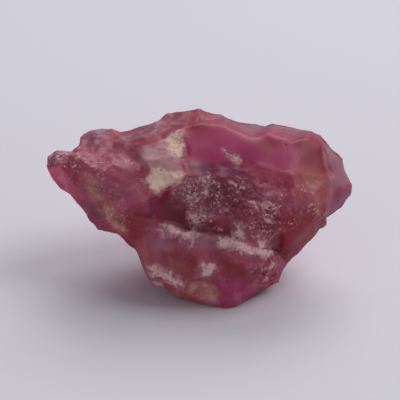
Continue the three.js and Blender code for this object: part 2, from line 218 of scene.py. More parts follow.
        (-0.9, 11.9), (0.9, 12.7), (7.9, 11.7), (8.3, 10.3), (8.3, 8.8), (6.9, 8.7), (5.0, 9.3), (3.4, 9.8),
        (1.7, 9.7), (-0.7, 9.4),
    )),
    ("polish", 0.0, (
        (-3.3, 7.3), (-2.3, 7.8), (-1.5, 7.6), (-0.9, 6.9), (-1.1, 5.6), (-2.8, 5.7), (-3.3, 6.3),
    )),
    ("polish", 0.0, (
        (-4.7, 6.4), (-3.4, 6.1), (-3.2, 5.5), (-3.9, 4.6), (-4.1, 3.9), (-4.8, 4.6), (-5.2, 5.3),
    )),
    ("polish", 0.0, ((8.4, 11.4), (9.3, 10.8), (10.4, 8.5), (9.9, 7.0), (8.5, 6.2), (8.8, 9.0))),
    ("polish", 0.0, ((5.5, 5.2), (6.8, 5.7), (8.1, 5.8), (7.4, 4.4), (6.5, 3.7), (5.4, 3.8))),
)

# Areas on the back and the underside, in the same two directions.
BACK_AREAS = (
    ("crust", 0.05, ((1.6, 11.6), (2.8, 11.3), (3.4, 10.4), (2.7, 9.5), (1.9, 9.9), (1.2, 10.6))),
    ("crust", 0.05, ((-5.0, 9.0), (-4.1, 8.9), (-3.8, 8.2), (-4.6, 7.8), (-5.2, 8.3))),
    ("rust", 0.0, ((-7.6, 9.6), (-5.8, 9.2), (-5.3, 8.0), (-6.6, 7.4), (-7.8, 8.3))),
    ("rust", 0.0, ((5.4, 10.4), (7.6, 10.0), (7.9, 8.6), (6.6, 8.2), (5.6, 9.2))),
    ("blush", 0.06, ((-1.3, 11.8), (-0.4, 11.9), (-0.1, 11.2), (-1.1, 11.0))),
    ("blush", 0.06, ((4.0, 8.2), (4.9, 8.1), (5.0, 7.3), (4.1, 7.3))),
    ("wine", 0.0, ((-3.4, 9.4), (-1.4, 9.6), (-0.6, 8.0), (-2.0, 6.8), (-3.6, 7.8))),
    ("wine", 0.0, ((3.2, 7.2), (5.6, 7.0), (6.2, 5.4), (4.2, 4.8))),
    ("magenta", 0.0, ((-4.6, 12.0), (-1.6, 12.6), (-1.4, 10.8), (-3.6, 10.4))),
    ("magenta", 0.0, ((2.8, 12.4), (6.8, 11.8), (6.6, 10.6), (3.4, 11.0))),
    ("mauve", 0.0, ((-10.4, 10.4), (-8.4, 10.6), (-8.6, 9.0), (-10.0, 9.0))),
    ("rough", 0.0, ((-1.0, 10.8), (3.6, 10.8), (4.2, 8.0), (1.0, 6.8), (-0.8, 8.2))),
    ("polish", 0.0, ((2.8, 12.6), (8.0, 11.6), (7.6, 9.8), (3.4, 10.8))),
    ("polish", 0.0, ((-5.6, 11.8), (-1.8, 12.8), (-1.6, 10.8), (-4.8, 9.8))),
)

# Cracks and sharp inner edges on the front, as lines of (across, up).
CRACKS = (
    ((7.4, 11.5), (8.1, 11.1), (8.2, 10.3), (8.4, 9.3), (8.6, 8.5), (8.7, 7.8)),
    ((-1.0, 8.7), (-1.9, 8.2), (-2.5, 8.0), (-2.7, 7.5), (-3.3, 7.2)),
    ((-1.0, 5.4), (-0.3, 5.3), (0.5, 5.3)),
    ((4.2, 4.1), (4.9, 4.0), (5.4, 3.9)),
    ((6.0, 11.2), (6.8, 11.4), (7.4, 11.5)),
    ((-5.4, 4.9), (-4.7, 4.4), (-4.2, 3.8)),
)

# Small dark pits on the front, as (across, up).
PITS = ((-2.6, 9.2), (-3.5, 8.5), (5.7, 10.9), (5.4, 3.9), (-7.2, 9.9))

# How far the outlines wander, and the size of their bends: [reach, spacing].
AREA_WANDER = (0.12, 0.9)
CRACK_WANDER = (0.1, 0.5)

CRACK_WIDTH = 0.06
CRACK_DEPTH = 0.05
PIT_RADIUS = 0.07
PIT_DEPTH = 0.06

# Where a relief begins and is complete, in millimetres inside an area, a pit or a crack.
RELIEF_EDGES = {
    "area": (-0.02, 0.12),
    "rough": (-0.4, 0.5),
    "polish": (-0.15, 0.2),
    "crust": (-0.05, 0.1),
    "even": (0.05, 0.4),
    "pit": (-0.03, 0.05),
    "crack": (-0.08, CRACK_WIDTH),
}

# How far past the rim an area reaches, and how squarely a crack's place has to face the front.
AREA_OVERLAP = 0.1
CRACK_FACING = 0.3

# How squarely a place faces front or back where the rim begins to fade and is gone, and how squarely it faces
# down where the underside begins and is complete.
RIM_FACING = (0.05, 0.35)
UNDER_FACING = (-0.35, 0.6)

# Shares of the relief that a smooth break and the rim lose.
POLISH_CALM = 0.95
RIM_CALM = 0.6

# The streaks' relief is drawn out along their fall, and changes more slowly from front to back. Their colours
# are drawn out further.
STREAK_LENGTH = 2.4
STREAK_DEPTH = 0.6
STREAK_THINNING = 0.33

# Where it is thickest, the crust hides this share of the stone.
CRUST_COVER = 0.85

# The remeshed surface is evened out by these shares in turn, which smooth it without shrinking it. The smooth
# breaks are then evened further, by the polish share in each pass.
EVENING_SHARES = (0.5, -0.52, 0.5, -0.52)
POLISH_SHARE = 0.5

# The breaks fade out between these heights, so that the resting face stays flat.
RESTING_HEIGHTS = (0.02, 0.5)

# The relief field is the height over this many spreads of the large shells.
RELIEF_SPREAD = 1.5

# Edges bent further than this stay sharp.
SHARP_ANGLE = math.radians(48)

# Large odd numbers that scatter cells, seeds and channels, and the shifts and factors of the scattering.
CELL_FACTORS = (73856093, 19349663, 83492791)
SEED_FACTOR = 2654435761
CHANNEL_STEP = 0x9E3779B9
SCATTER = ((16, 0x45D9F3B), (15, 0x2C1B3C6D), (16, 0x297A2D39))
LAST_SHIFT = 15
LARGEST = 0xFFFFFFFF

# The clouds' gain, and the tilt and unevenness of the shells.
CLOUD_GAIN = 1.6
SHELL_TILT = 0.7
SHELL_RISE = 0.4

# The stage: half the floor's width in metres, and the colour of the even light.
FLOOR_REACH = 1.0
AIR_COLOUR = (0.93, 0.93, 1.0)

# The area lights, in metres: [name, place, size, setting of its power]. They point a little above the floor.
LAMPS = (
    ("right window", Vector((0.24, 0.02, 0.34)), (0.25, 0.25), "right_power"),
    ("back window", Vector((0.06, 0.27, 0.28)), (0.28, 0.22), "back_power"),
    ("left card", Vector((-0.3, -0.3, 0.08)), (0.3, 0.14), "left_power"),
)
LAMP_AIM = Vector((0, 0, 0.004))

# A long lens, in millimetres, and the nearest and farthest that the camera sees, in metres.
LENS_LENGTH = 300
SENSOR_WIDTH = 36
SIGHT = (0.01, 10)


def seeded(cells, seed, channels):
    """Numbers from 0 to 1 for each whole-number cell, the same for the same cell and seed."""
    cells = cells.astype(np.int64)
    mixed = seed * SEED_FACTOR
    for axis, factor in enumerate(CELL_FACTORS):
        mixed = mixed ^ (cells[..., axis] * factor)
    out = []
    for channel in range(channels):
        value = (mixed + channel * CHANNEL_STEP) & LARGEST
        for shift, factor in SCATTER:
            value = ((value ^ (value >> shift)) * factor) & LARGEST
        out.append((value ^ (value >> LAST_SHIFT)) / LARGEST)
    return np.stack(out, -1)


def clouds(points, spacing, seed, octaves=3):
    """Smooth noise about 0, mostly from -1 to 1."""
    total, weight, reach = np.zeros(len(points)), 1.0, 0.0
    for octave in range(octaves):
        scaled = points / (spacing / 2**octave)
        corner = np.floor(scaled)
        part = scaled - corner
        part = part * part * (3 - 2 * part)
        for step in product((0, 1), repeat=3):
            share = np.prod(np.where(np.array(step) == 1, part, 1 - part), axis=1)
            total += weight * share * (2 * seeded(corner + step, seed + octave, 1)[:, 0] - 1)
        reach += weight
        weight /= 2
    return total / reach * CLOUD_GAIN


def evened(height):
    """A height field with an average of 0 and a spread of 1."""
    return (height - height.mean()) / height.std()


def shells(points, spacing, seed):
    """A surface of tilted hollow shells that meet in sharp ridges, and each shell's tone from 0 to 1."""
    scaled = points / spacing
    corner = np.floor(scaled)
    lowest = np.full(len(points), np.inf)
    tone = np.zeros(len(points))
    for step in product((-1, 0, 1), repeat=3):
        cell = corner + step
        random = seeded(cell, seed, 8)
        away = scaled - cell - random[:, :3]
        tilt = SHELL_TILT * (2 * random[:, 3:6] - 1)
        height = (tilt * away + away**2).sum(1) + SHELL_RISE * random[:, 6]
        tone = np.where(height < lowest, random[:, 7], tone)
        lowest = np.minimum(lowest, height)
    return evened(lowest), tone


def ridges(points, spacing, seed):
    """Sharp-crested noise."""
    return evened(-np.abs(clouds(points, spacing, seed, octaves=2)))


def stepped(value, spacing):
    """A rise from -0.5 to 0.5 that drops back at each step."""
    return (value / spacing) % 1.0 - 0.5


def eased(value, low, high):
    """A smooth rise from 0 at low to 1 at high."""
    share = np.clip((value - low) / (high - low), 0, 1)
    return share * share * (3 - 2 * share)


def edge_distance(across, up, start, end):
    """Distance to a straight edge."""
    (ax, ay), (bx, by) = start, end
    ex, ey = bx - ax, by - ay
    share = np.clip(((across - ax) * ex + (up - ay) * ey) / (ex * ex + ey * ey), 0, 1)
    return np.hypot(across - ax - share * ex, up - ay - share * ey)


def depth_inside(across, up, outline):
    """Distance to an outline, positive inside it."""
    nearest = np.full(len(across), np.inf)
    inside = np.zeros(len(across), bool)
    for start, end in zip(outline, outline[1:] + outline[:1]):
        nearest = np.minimum(nearest, edge_distance(across, up, start, end))
        (ax, ay), (bx, by) = start, end
        if ay != by:
            crosses = (ay > up) != (by > up)
            inside ^= crosses & (across < ax + (up - ay) * (bx - ax) / (by - ay))
    return np.where(inside, nearest, -nearest)


def drawing(points):
    """Across and up on the drawing plane."""
    away = points - np.array(FOOT)
    return away[:, 0], away[:, 1] * math.sin(LEAN) + away[:, 2] * math.cos(LEAN)


def wandering(points, reach, spacing, seed):
    """Across and up on the drawing plane, moved about so that straight outlines come out ragged."""
    across, up = drawing(points)
    across = across + reach * clouds(points, spacing, seed)
    up = up + reach * clouds(points, spacing, seed + 1)
    return across, up


def facing(normals):
    """1 on what faces the front of the drawing plane, -1 on what faces away from it."""
    return -normals[:, 1] * math.cos(LEAN) + normals[:, 2] * math.sin(LEAN)


def finish_fields(points, normals):
    """How deep each point lies inside each finish, in millimetres, and how far it stands proud."""
    across, up = wandering(points, *AREA_WANDER, seed=11)
    front = facing(normals)
    fields = {finish: np.full(len(points), -1.0) for finish in FINISHES}
    lift = np.zeros(len(points))
    for areas, side in ((FRONT_AREAS, 1), (BACK_AREAS, -1)):
        for finish, proud, outline in areas:
            depth = np.minimum(depth_inside(across, up, outline), side * front + AREA_OVERLAP)
            fields[finish] = np.maximum(fields[finish], depth)
            lift += proud * eased(depth, *RELIEF_EDGES["area"])
    return fields, lift


def rim_field(normals):
    """1 on the sharp rim between front and back, 0 away from it."""
    return 1 - eased(np.abs(facing(normals)), *RIM_FACING)


def pit_field(points, normals):
    """Depth inside the nearest dark pit."""
    across, up = drawing(points)
    nearest = np.full(len(points), np.inf)
    for x, y in PITS:
        nearest = np.minimum(nearest, np.hypot(across - x, up - y))
    return np.where(facing(normals) > 0, PIT_RADIUS - nearest, -1.0)


def crack_field(points, normals):
    """Depth inside the nearest crack."""
    across, up = wandering(points, *CRACK_WANDER, seed=13)
    nearest = np.full(len(points), np.inf)
    for line in CRACKS:
        for start, end in zip(line, line[1:]):
            nearest = np.minimum(nearest, edge_distance(across, up, start, end))
    return np.where(facing(normals) > CRACK_FACING, CRACK_WIDTH - nearest, -1.0)


def broken_surface(points, normals, fields, lift, props):
    """How far each point moves along its normal, in millimetres, and the tone of the shell it lies on."""
    across, up = drawing(points)
    kinds = ("rough", "polish", "crust")
    rough, polish, crust = (eased(fields[kind], *RELIEF_EDGES[kind]) for kind in kinds)
    calm = 1 - POLISH_CALM * polish

    # Streaks fall from upper left to lower right over the rough middle.
    fall = props.streak_fall
    along = across * math.cos(fall) - up * math.sin(fall)
    over = across * math.sin(fall) + up * math.cos(fall)
    streaked = np.stack((along / STREAK_LENGTH, over, points[:, 1] * STREAK_DEPTH), 1)
    streaked += 0.25 * clouds(points, spacing=1.1, seed=33)[:, None]
    bent = over + 0.9 * clouds(points, spacing=2.2, seed=34) + 0.25 * clouds(points, spacing=0.6, seed=35)

    # Large shells are lower on a rough break, and chips and grains are higher.
    shell, shell_tone = shells(points, props.shell_spacing, seed=21)
    chip, chip_tone = shells(points, props.chip_spacing, seed=22)
    grain, _ = shells(points, props.grain_spacing, seed=23)
    height = props.shell_height * calm * (1 - 0.4 * rough) * shell
    height += props.chip_height * (0.6 + 0.4 * rough) * calm * chip
    height += props.grain_height * (0.35 + 0.65 * np.maximum(rough, crust)) * calm * grain

    # Streaks, coarse and fine steps on a rough break, faint steps elsewhere, and the crust's crumbs.
    height += props.streak_height * rough * ridges(streaked, spacing=0.75, seed=31)
    steps = 0.8 * stepped(bent, spacing=0.85) + 0.45 * stepped(bent + along * 0.2, spacing=0.37)
    height += props.step_height * rough * steps
    height += 0.1 * props.step_height * (1 - rough) * calm * stepped(bent + along * 0.6, spacing=1.3)
    height += 0.02 * crust * clouds(points, spacing=0.3, seed=24)
    tone = 0.55 * shell_tone + 0.45 * chip_tone
    return height * (1 - RIM_CALM * rim_field(normals)) + lift, tone


def smoothed(points, edges, share):
    """Each point goes a share of the way to the middle of its neighbours, or away if that is negative."""
    counts = np.bincount(edges.ravel(), minlength=len(points))[:, None]
    ends = np.concatenate((edges[:, 0], edges[:, 1]))
    others = points[np.concatenate((edges[:, 1], edges[:, 0]))]
    total = np.stack([np.bincount(ends, others[:, axis], len(points)) for axis in range(3)], 1)
    return points + share * (total / counts - points)


def read_points(mesh):
    values = np.empty(3 * len(mesh.vertices))
    mesh.vertices.foreach_get("co", values)
    return values.reshape(-1, 3)


def read_normals(mesh):
    values = np.empty(3 * len(mesh.vertices))
    mesh.vertex_normals.foreach_get("vector", values)
    return values.reshape(-1, 3)


def read_edges(mesh):
    values = np.empty(2 * len(mesh.edges), np.int64)
    mesh.edges.foreach_get("vertices", values)
    return values.reshape(-1, 2)


def write_points(mesh, points):
    mesh.vertices.foreach_set("co", points.ravel())
    mesh.update()


def write_field(mesh, name, values):
    attribute = mesh.attributes.new(name, "FLOAT", "POINT")
    attribute.data.foreach_set("value", values.astype(np.float32))


def fine_copy(source, name, mesh_size):
    """A new object with the source's solid, remeshed evenly, in millimetres."""
    mesh = source.data.copy()
    write_points(mesh, read_points(mesh) * MM_PER_M)
    coarse = bpy.data.objects.new(name, mesh)
    bpy.context.scene.collection.objects.link(coarse)
    remesh = coarse.modifiers.new("even mesh", "REMESH")
    remesh.mode = "VOXEL"
    remesh.voxel_size = mesh_size
    remesh.use_smooth_shade = True
    bpy.context.view_layer.update()
    evaluated = coarse.evaluated_get(bpy.context.evaluated_depsgraph_get())
    fine = bpy.data.meshes.new_from_object(evaluated)
    bpy.data.objects.remove(coarse)
    bpy.data.meshes.remove(mesh)
    fine.name = name
    fine.materials.clear()
    stone = bpy.data.objects.new(name, fine)
    bpy.context.scene.collection.objects.link(stone)
    return stone


class Wire:
    """A number on a node's output. Arithmetic on it adds Math nodes."""

    def __init__(self, finish, socket):
        self.finish = finish
        self.socket = socket

    def _math(self, operation, first, second):
        return self.finish.node("ShaderNodeMath", {"operation": operation}, {0: first, 1: second})

    def __add__(self, other):
        return self._math("ADD", self, other)

    def __sub__(self, other):
        return self._math("SUBTRACT", self, other)

    def __mul__(self, other):
        return self._math("MULTIPLY", self, other)

    def __rsub__(self, other):
        return self._math("SUBTRACT", other, self)

    __radd__ = __add__
    __rmul__ = __mul__


class Finish:
    """A material that is built from node calls."""

    def __init__(self, name):
        self.material = bpy.data.materials.new(name)
        self.material.use_nodes = True
        self.tree = self.material.node_tree
        self.tree.nodes.clear()

    def node(self, kind, settings=None, inputs=None, output=0):
        """Adds a node, sets it up and joins it. Gives its output as a Wire."""
        made = self.tree.nodes.new(kind)
        for key, value in (settings or {}).items():
            setattr(made, key, value)
        for key, value in (inputs or {}).items():
            if isinstance(value, Wire):
                self.tree.links.new(value.socket, made.inputs[key])
            else:
                made.inputs[key].default_value = value
        return Wire(self, made.outputs[output]) if made.outputs else made

    def field(self, name):
        """A number that is kept at each point of the mesh."""
        return self.node("ShaderNodeAttribute", {"attribute_name": name}, output="Fac")

    def point(self):
        """The place on the object, in millimetres."""
        place = self.node("ShaderNodeTexCoord", output="Object")
        return self.node("ShaderNodeVectorMath", {"operation": "SCALE"}, {0: place, "Scale": MM_PER_M})

    def eased(self, value, low, high):
        """A smooth rise from 0 at low to 1 at high."""
        return self.node(
            "ShaderNodeMapRange",
            {"interpolation_type": "SMOOTHSTEP"},
            {"Value": value, "From Min": low, "From Max": high},
        )

    def noise(self, point, scale, detail=3.0, roughness=0.55, distortion=0.0):
        """Noise from 0 to 1, about 0.5 on average, with scale in ripples a millimetre."""
        sockets = {"Vector": point, "Scale": scale, "Detail": detail}
        sockets.update({"Roughness": roughness, "Distortion": distortion})
        return self.node("ShaderNodeTexNoise", None, sockets)

    def bump(self, height):
        """A normal that is tilted by a height in millimetres."""
        return self.node("ShaderNodeBump", None, {"Height": height, "Distance": 1 / MM_PER_M})

    def blend(self, factor, first, second, kind="MIX"):
        """A colour that goes from the first to the second."""
        sockets = {0: factor, 6: first, 7: second}
        return self.node("ShaderNodeMix", {"data_type": "RGBA", "blend_type": kind}, sockets, output=2)


def colour(values):
    """A colour with its alpha."""
    return (*values, 1.0)


class RubyPattern:
    """The noises and ragged areas that colour the stone and give it its fine relief."""

    def __init__(self, finish, props):
        self.finish = finish
        point = finish.point()
        self.broad = finish.noise(point, scale=0.35, detail=4.0)
        self.mottle = finish.noise(point, scale=1.6, detail=5.0, roughness=0.6, distortion=0.6)
        self.fleck = finish.noise(point, scale=5.0, detail=4.0, roughness=0.65)
        self.speck = finish.noise(point, scale=13.0, detail=2.0, roughness=0.6)
        self.ragged = (self.mottle - 0.5) * 0.4 + (self.fleck - 0.5) * 0.45

        # Streaks that fall to the right on the drawing plane, three times as long as they are wide.
        turned = finish.node(
            "ShaderNodeVectorRotate",
            {"rotation_type": "EULER_XYZ"},
            {"Vector": point, "Rotation": (LEAN - math.pi / 2, props.streak_fall, 0.0)},
        )
        sockets = {0: turned, 1: (STREAK_THINNING, 1.0, 1.0)}
        drawn_out = finish.node("ShaderNodeVectorMath", {"operation": "MULTIPLY"}, sockets)
        self.streak = finish.noise(drawn_out, scale=1.9, detail=6.0, roughness=0.7, distortion=0.4)

        # Hairlines, broken up into short bright strokes that are painted glints, and the clusters that they
        # and the other painted glints lie in.
        hair = finish.noise(drawn_out, scale=3.4, detail=5.0, roughness=0.65, distortion=0.8) - 0.5
        self.hairline = finish.eased(hair * hair, 0.0014, 0.0002) * finish.eased(self.fleck, 0.46, 0.58)
        self.cluster = finish.eased(finish.noise(point, scale=0.8, detail=2.0), 0.47, 0.60)

        self.rough = self.mask("rough", softness=0.6)
        self.plain = 1 - self.mask("polish", softness=0.2)
        self.crust = self.mask("crust", softness=0.25)
        self.veil = finish.eased(finish.field("veil") + self.ragged * 1.5, -0.2, 0.3)
        self.bruise = finish.field("blush") + self.ragged * 1.3
        self.rim = finish.field("rim")

    def mask(self, name, softness, share=1.0):
        """How much of a finish lies at each point, with a ragged edge that is soft over some millimetres."""
        return self.finish.eased(self.finish.field(name) + self.ragged, -softness, softness) * share


def layered(finish, skin, layers):
    """The skin with layers over it in order, each a share and a colour."""
    for share, over in layers:
        skin = finish.blend(share, skin, colour(over))
    return skin


def skin_colour(finish, pattern, props):
    """The stone's colour, from its clouds and stains up to its bruises and finest grains, with painted light
    over it: shade, glow, highlights and glints.
    """
    eased, mask = finish.eased, pattern.mask
    mottle, fleck, speck, streak = pattern.mottle, pattern.fleck, pattern.speck, pattern.streak
    rough, plain, bruise, rim = pattern.rough, pattern.plain, pattern.bruise, pattern.rim
    under, tone, relief = (finish.field(name) for name in ("under", "tone", "relief"))

    garnet = mask("garnet", softness=0.5, share=0.9)
    spotted = eased(mottle * 0.5 + fleck * 0.5, 0.46, 0.56) * 0.5 + 0.5
    hollow_shade = eased((fleck - 0.5) * 1.2 - relief, 0.3, 1.2) * (plain * 0.3 + rough * 0.3 + 0.05)
    crest_highlight = eased(relief + (fleck - 0.5) * 1.6, 0.7, 1.5) * (rough * 0.35 + plain * 0.1)
    skin = finish.blend(eased(pattern.broad, 0.35, 0.65), colour(props.ruby), colour(props.deep_ruby))
    skin = layered(finish, skin, (
        # frosted skin, clear breaks and stains
        (mask("frost", softness=0.5, share=0.9), props.frost),
        (mask("magenta", softness=0.35, share=0.9), props.magenta),
        (garnet, props.garnet),
        (mask("plum", softness=0.35, share=0.9), props.plum),
        (mask("rust", softness=0.4, share=0.75), props.rust),
        (mask("tan", softness=0.3) * spotted, props.tan),
        (mask("mauve", softness=0.3, share=0.8), props.mauve),
        (mask("wine", softness=0.2, share=0.9), props.wine),
        # painted shade along the rim, darker where it faces down, and a painted glow on the tip
        (rim * (under * 0.3 + 0.6), props.rim_shade),
        (mask("glow", softness=0.25), props.glow),
        # lighter and darker shells, and painted shade in the hollows between them
        (eased(tone, 0.5, 0.85) * plain * 0.22, props.mauve),
        (eased(tone, 0.5, 0.15) * plain * 0.35, props.wine),
        (hollow_shade, props.wine),
        # streaks of the rough breaks, and a painted highlight on the crests
        (rough * 0.1, props.mauve),
        (eased(streak, 0.54, 0.44) * rough * 0.65, props.wine),
        (eased(streak, 0.52, 0.64) * rough * 0.6, props.mauve),
        (crest_highlight, props.blush),
    ))

    # Painted light: what faces down is brightened, as if light came through the stone, but not the deep red.
    skin = finish.blend(under * (1 - rim) * (1 - garnet) * 0.3, skin, skin, "ADD")

    scored = eased(fleck * 0.6 + streak * 0.4, 0.40, 0.58) * 0.35 + 0.65
    cracks = eased(finish.field("crack") + (fleck - 0.5) * 0.2, -0.03, CRACK_WIDTH) * 0.85
    sugar = mask("sugar", softness=0.4)
    sparks = eased(fleck * 0.7 + speck * 0.3, 0.60, 0.65)
    painted_glints = (pattern.hairline * 0.9 + sparks * 1.2) * pattern.cluster * (rough * 0.8 + plain * 0.15)
    speck_and_glint_noise = eased(fleck * 0.7 + mottle * 0.3, 0.58, 0.62) + pattern.hairline * 0.5
    pale_specks_and_glints = speck_and_glint_noise * mask("specks", softness=0.5, share=0.8) * (pattern.cluster * 0.5 + 0.3)
    return layered(finish, skin, (
        # pale edges in a mauve halo, and dark cracks
        (eased(bruise, -0.4, 0.1) * 0.55, props.mauve),
        (eased(bruise + (mottle - 0.5) * 0.9, -0.15, 0.27) * scored, props.blush),
        (cracks, props.wine),
        # sugary breaks, with dark and pale grains, and bright grains that are partly painted glints
        (sugar * 0.55, props.frosted),
        (eased(mottle * 0.6 + fleck * 0.4, 0.53, 0.44) * sugar * 0.7, props.wine),
        (eased(fleck * 0.6 + mottle * 0.4, 0.53, 0.60) * sugar * 0.95, props.blush),
        (eased(fleck * 0.5 + speck * 0.5, 0.55, 0.62) * sugar * 0.9, props.glint_and_pale_grain),
        # painted glints, and fine pale specks that are partly painted glints
        (painted_glints + pale_specks_and_glints, props.glint_and_pale_grain),
    ))


def crust_colour(finish, pattern, props):
    """The pale crust: cream where it is thick, and the stone's red showing through where it is thin."""
    thick = pattern.mottle * 0.6 + pattern.fleck * 0.6 + pattern.crust * 0.35
    return layered(finish, colour(props.crust_shade), (
        (finish.eased(pattern.fleck, 0.42, 0.62) * 0.5, props.mauve),
        (finish.eased(thick, 0.62, 1.0), props.crust),
        (finish.eased(pattern.speck, 0.54, 0.66) * 0.6, props.crust_shade),
    ))


def fine_relief(finish, pattern):
    """The normal of the stone's finest grains and streaks."""
    mottle, fleck, rough = pattern.mottle, pattern.fleck, pattern.rough
    broken = rough * 1.2 + pattern.plain * 0.3 + finish.eased(pattern.bruise, -0.1, 0.2) * 1.5 + 0.1
    grain = (mottle * 0.02 + fleck * 0.014 + pattern.speck * 0.008) * broken + pattern.streak * rough * 0.07
    return finish.bump(grain + pattern.veil * fleck * 0.02)


def ruby_finish(props):
    """Cloudy ruby with its crust, stains and pale breaks."""
    finish = Finish("rough ruby")
    pattern = RubyPattern(finish, props)
    pits = finish.eased(finish.field("pit"), 0.0, 0.03)
    normal = fine_relief(finish, pattern)
    roughness = pattern.rough * 0.15 + pattern.rim * 0.4 + (pattern.mottle - 0.5) * 0.25 + props.roughness
    stone = finish.node(
        "ShaderNodeBsdfPrincipled",
        {"subsurface_method": "RANDOM_WALK"},
        {
            "Base Color": finish.blend(pits, skin_colour(finish, pattern, props), colour(props.pit)),
            "Roughness": roughness,
            "IOR": props.ior,
            "Specular IOR Level": props.shine,
            "Subsurface Weight": props.cloudiness,
            "Subsurface Radius": (1.0, 0.65, 0.8),
            "Subsurface Scale": props.glow_depth / MM_PER_M,
            "Transmission Weight": props.clearness,
            "Normal": normal,
        },
    )
    crust = finish.node(
        "ShaderNodeBsdfPrincipled",
        {"subsurface_method": "RANDOM_WALK"},
        {
            "Base Color": finish.blend(pits, crust_colour(finish, pattern, props), colour(props.pit)),
            "Roughness": 0.85,
            "IOR": 1.5,
            "Specular IOR Level": 0.25,
            "Subsurface Weight": 0.3,
            "Subsurface Radius": (1.0, 0.6, 0.5),
            "Subsurface Scale": 0.3 / MM_PER_M,
            "Normal": normal,
        },
    )
    surface = finish.node("ShaderNodeMixShader", None, {0: pattern.veil * CRUST_COVER, 1: stone, 2: crust})
    inside = finish.node(
        "ShaderNodeVolumeAbsorption",
        None,
        {"Color": colour(props.inside), "Density": props.absorption * MM_PER_M},
    )
    finish.node("ShaderNodeOutputMaterial", None, {"Surface": surface, "Volume": inside})
    return finish.material


def floor_finish(props):
    """Pale card with a fine grain."""
    finish = Finish("pale card")
    grain = finish.noise(finish.point(), scale=5.0, detail=3.0)
    card = finish.node(
        "ShaderNodeBsdfPrincipled",
        None,
        {"Base Color": colour(props.card), "Roughness": 0.7, "Normal": finish.bump(grain * 0.01)},
    )
    finish.node("ShaderNodeOutputMaterial", None, {"Surface": card})
    return finish.material


def tint(name, description, default):
    return bpy.props.FloatVectorProperty(
        name=name, description=description, default=default, size=3, min=0.0, max=1.0, subtype="COLOR"
    )


def number(name, description, default, **limits):
    return bpy.props.FloatProperty(name=name, description=description, default=default, **limits)


def fraction(name, description, default):
    return number(name, description, default, min=0.0, max=1.0, subtype="FACTOR")


def amount(name, description, default):
    return number(name, description, default, min=0.0)


def angle(name, description, degrees):
    return number(name, description, math.radians(degrees), unit="ROTATION")


class RubyStoneSettings(bpy.types.PropertyGroup):
    """The broken surface and the finish of the stone."""

    mesh_size: number("Mesh size", "Edge of the even mesh, in millimetres", 0.092, min=0.05)
    shell_spacing: number("Shell spacing", "Between the middles of large shells, in millimetres", 1.5)
    shell_height: number("Shell height", "Spread of the large shells' height, in millimetres", 0.06)
    chip_spacing: number("Chip spacing", "Between small chips, in millimetres", 0.62)
    chip_height: number("Chip height", "Spread of the small chips' height, in millimetres", 0.03)
    grain_spacing: number("Grain spacing", "Between grains of a rough break, in millimetres", 0.27)
    grain_height: number("Grain height", "Spread of the grains' height, in millimetres", 0.014)
    streak_height: number("Streak height", "Spread of the streaks' height, in millimetres", 0.04)
    step_height: number("Step height", "Height of the steps of a rough break, in millimetres", 0.14)
    streak_fall: angle("Streak fall", "How steeply the streaks fall to the right", 38)
    polish_passes: bpy.props.IntProperty(
        name="Polish passes", description="How often the smooth breaks are evened out", default=30, min=0
    )
    ruby: tint("Ruby", "The body's own red", (0.50, 0.065, 0.14))
    deep_ruby: tint("Deep ruby", "Redder, deeper clouds in the body", (0.45, 0.045, 0.085))
    frost: tint("Frost", "Thin frosted skin", (0.48, 0.09, 0.165))
    magenta: tint("Magenta", "Smooth clear breaks", (0.47, 0.042, 0.155))
    garnet: tint("Garnet", "Deep clear red", (0.34, 0.012, 0.038))
    plum: tint("Plum", "Deep places with a violet cast", (0.28, 0.035, 0.11))
    wine: tint("Wine", "Deep places where the light is lost", (0.25, 0.025, 0.06))
    rust: tint("Rust", "Brown stain along the edges", (0.54, 0.135, 0.11))
    tan: tint("Tan", "Thick stain on small facets", (0.68, 0.36, 0.29))
    frosted: tint("Frosted", "Grainy breaks", (0.68, 0.39, 0.45))
    mauve: tint("Mauve", "Frosted breaks", (0.41, 0.18, 0.24))
    blush: tint("Blush", "Bruised, pale pink edges", (0.99, 0.62, 0.61))
    # Painted glow: bright pink on the tip, in place of light that shines through it.
    glow: tint("Glow", "Thin edge that the light shines through", (0.98, 0.22, 0.40))
    # Painted shade: a dark colour along the rim between front and back, darker where it faces down.
    rim_shade: tint("Worn", "Rim between front and back, worn grey", (0.18, 0.07, 0.10))
    # Pale grains, and painted glints and hairlines that stand in for tiny reflections.
    glint_and_pale_grain: tint("Glint", "Tiny bruised grains and hairlines", (0.97, 0.69, 0.70))
    crust: tint("Crust", "The pale mineral that is grown on", (0.86, 0.62, 0.51))
    crust_shade: tint("Crust shade", "Thinner crust, where the red shows through", (0.58, 0.34, 0.34))
    pit: tint("Pit", "Dirt in small pits", (0.02, 0.008, 0.008))
    inside: tint("Inside", "Colour of light that has gone through the stone", (0.85, 0.1, 0.22))
    roughness: fraction("Roughness", "Of the plain broken surface", 0.42)
    ior: number("Index of refraction", "Of corundum", 1.77, min=1.0)
    shine: amount("Shine", "Strength of the reflections, 0.5 for a perfect surface", 0.13)
    cloudiness: fraction("Cloudiness", "Share of the surface that scatters light inside", 0.8)
    glow_depth: number("Glow depth", "How far red light travels in the stone, in millimetres", 0.45)
    clearness: fraction("Clearness", "Share of the surface that light passes straight through", 0.2)
    absorption: amount("Absorption", "Per millimetre of stone", 0.25)


class RubyStageSettings(bpy.types.PropertyGroup):
    """The floor, the light and the camera."""

    view_tilt: angle("View tilt", "How far the camera looks down", 30)
    view_width: number("View width", "Width of the picture at the stone, in millimetres", 26.67)
    view_rise: number("View rise", "Up the drawing plane to the picture's middle, in millimetres", 7.27)
    card: tint("Card", "The floor", (0.78, 0.76, 0.84))
    right_power: amount("Right window", "Power of the large light on the right, in watts", 0.64)
    back_power: amount("Back window", "Power of the large light behind, in watts", 0.68)
    left_power: amount("Left card", "Power of the low soft light from the front left, in watts", 0.2)
    air: amount("Room light", "Strength of the even light all round", 0.21)


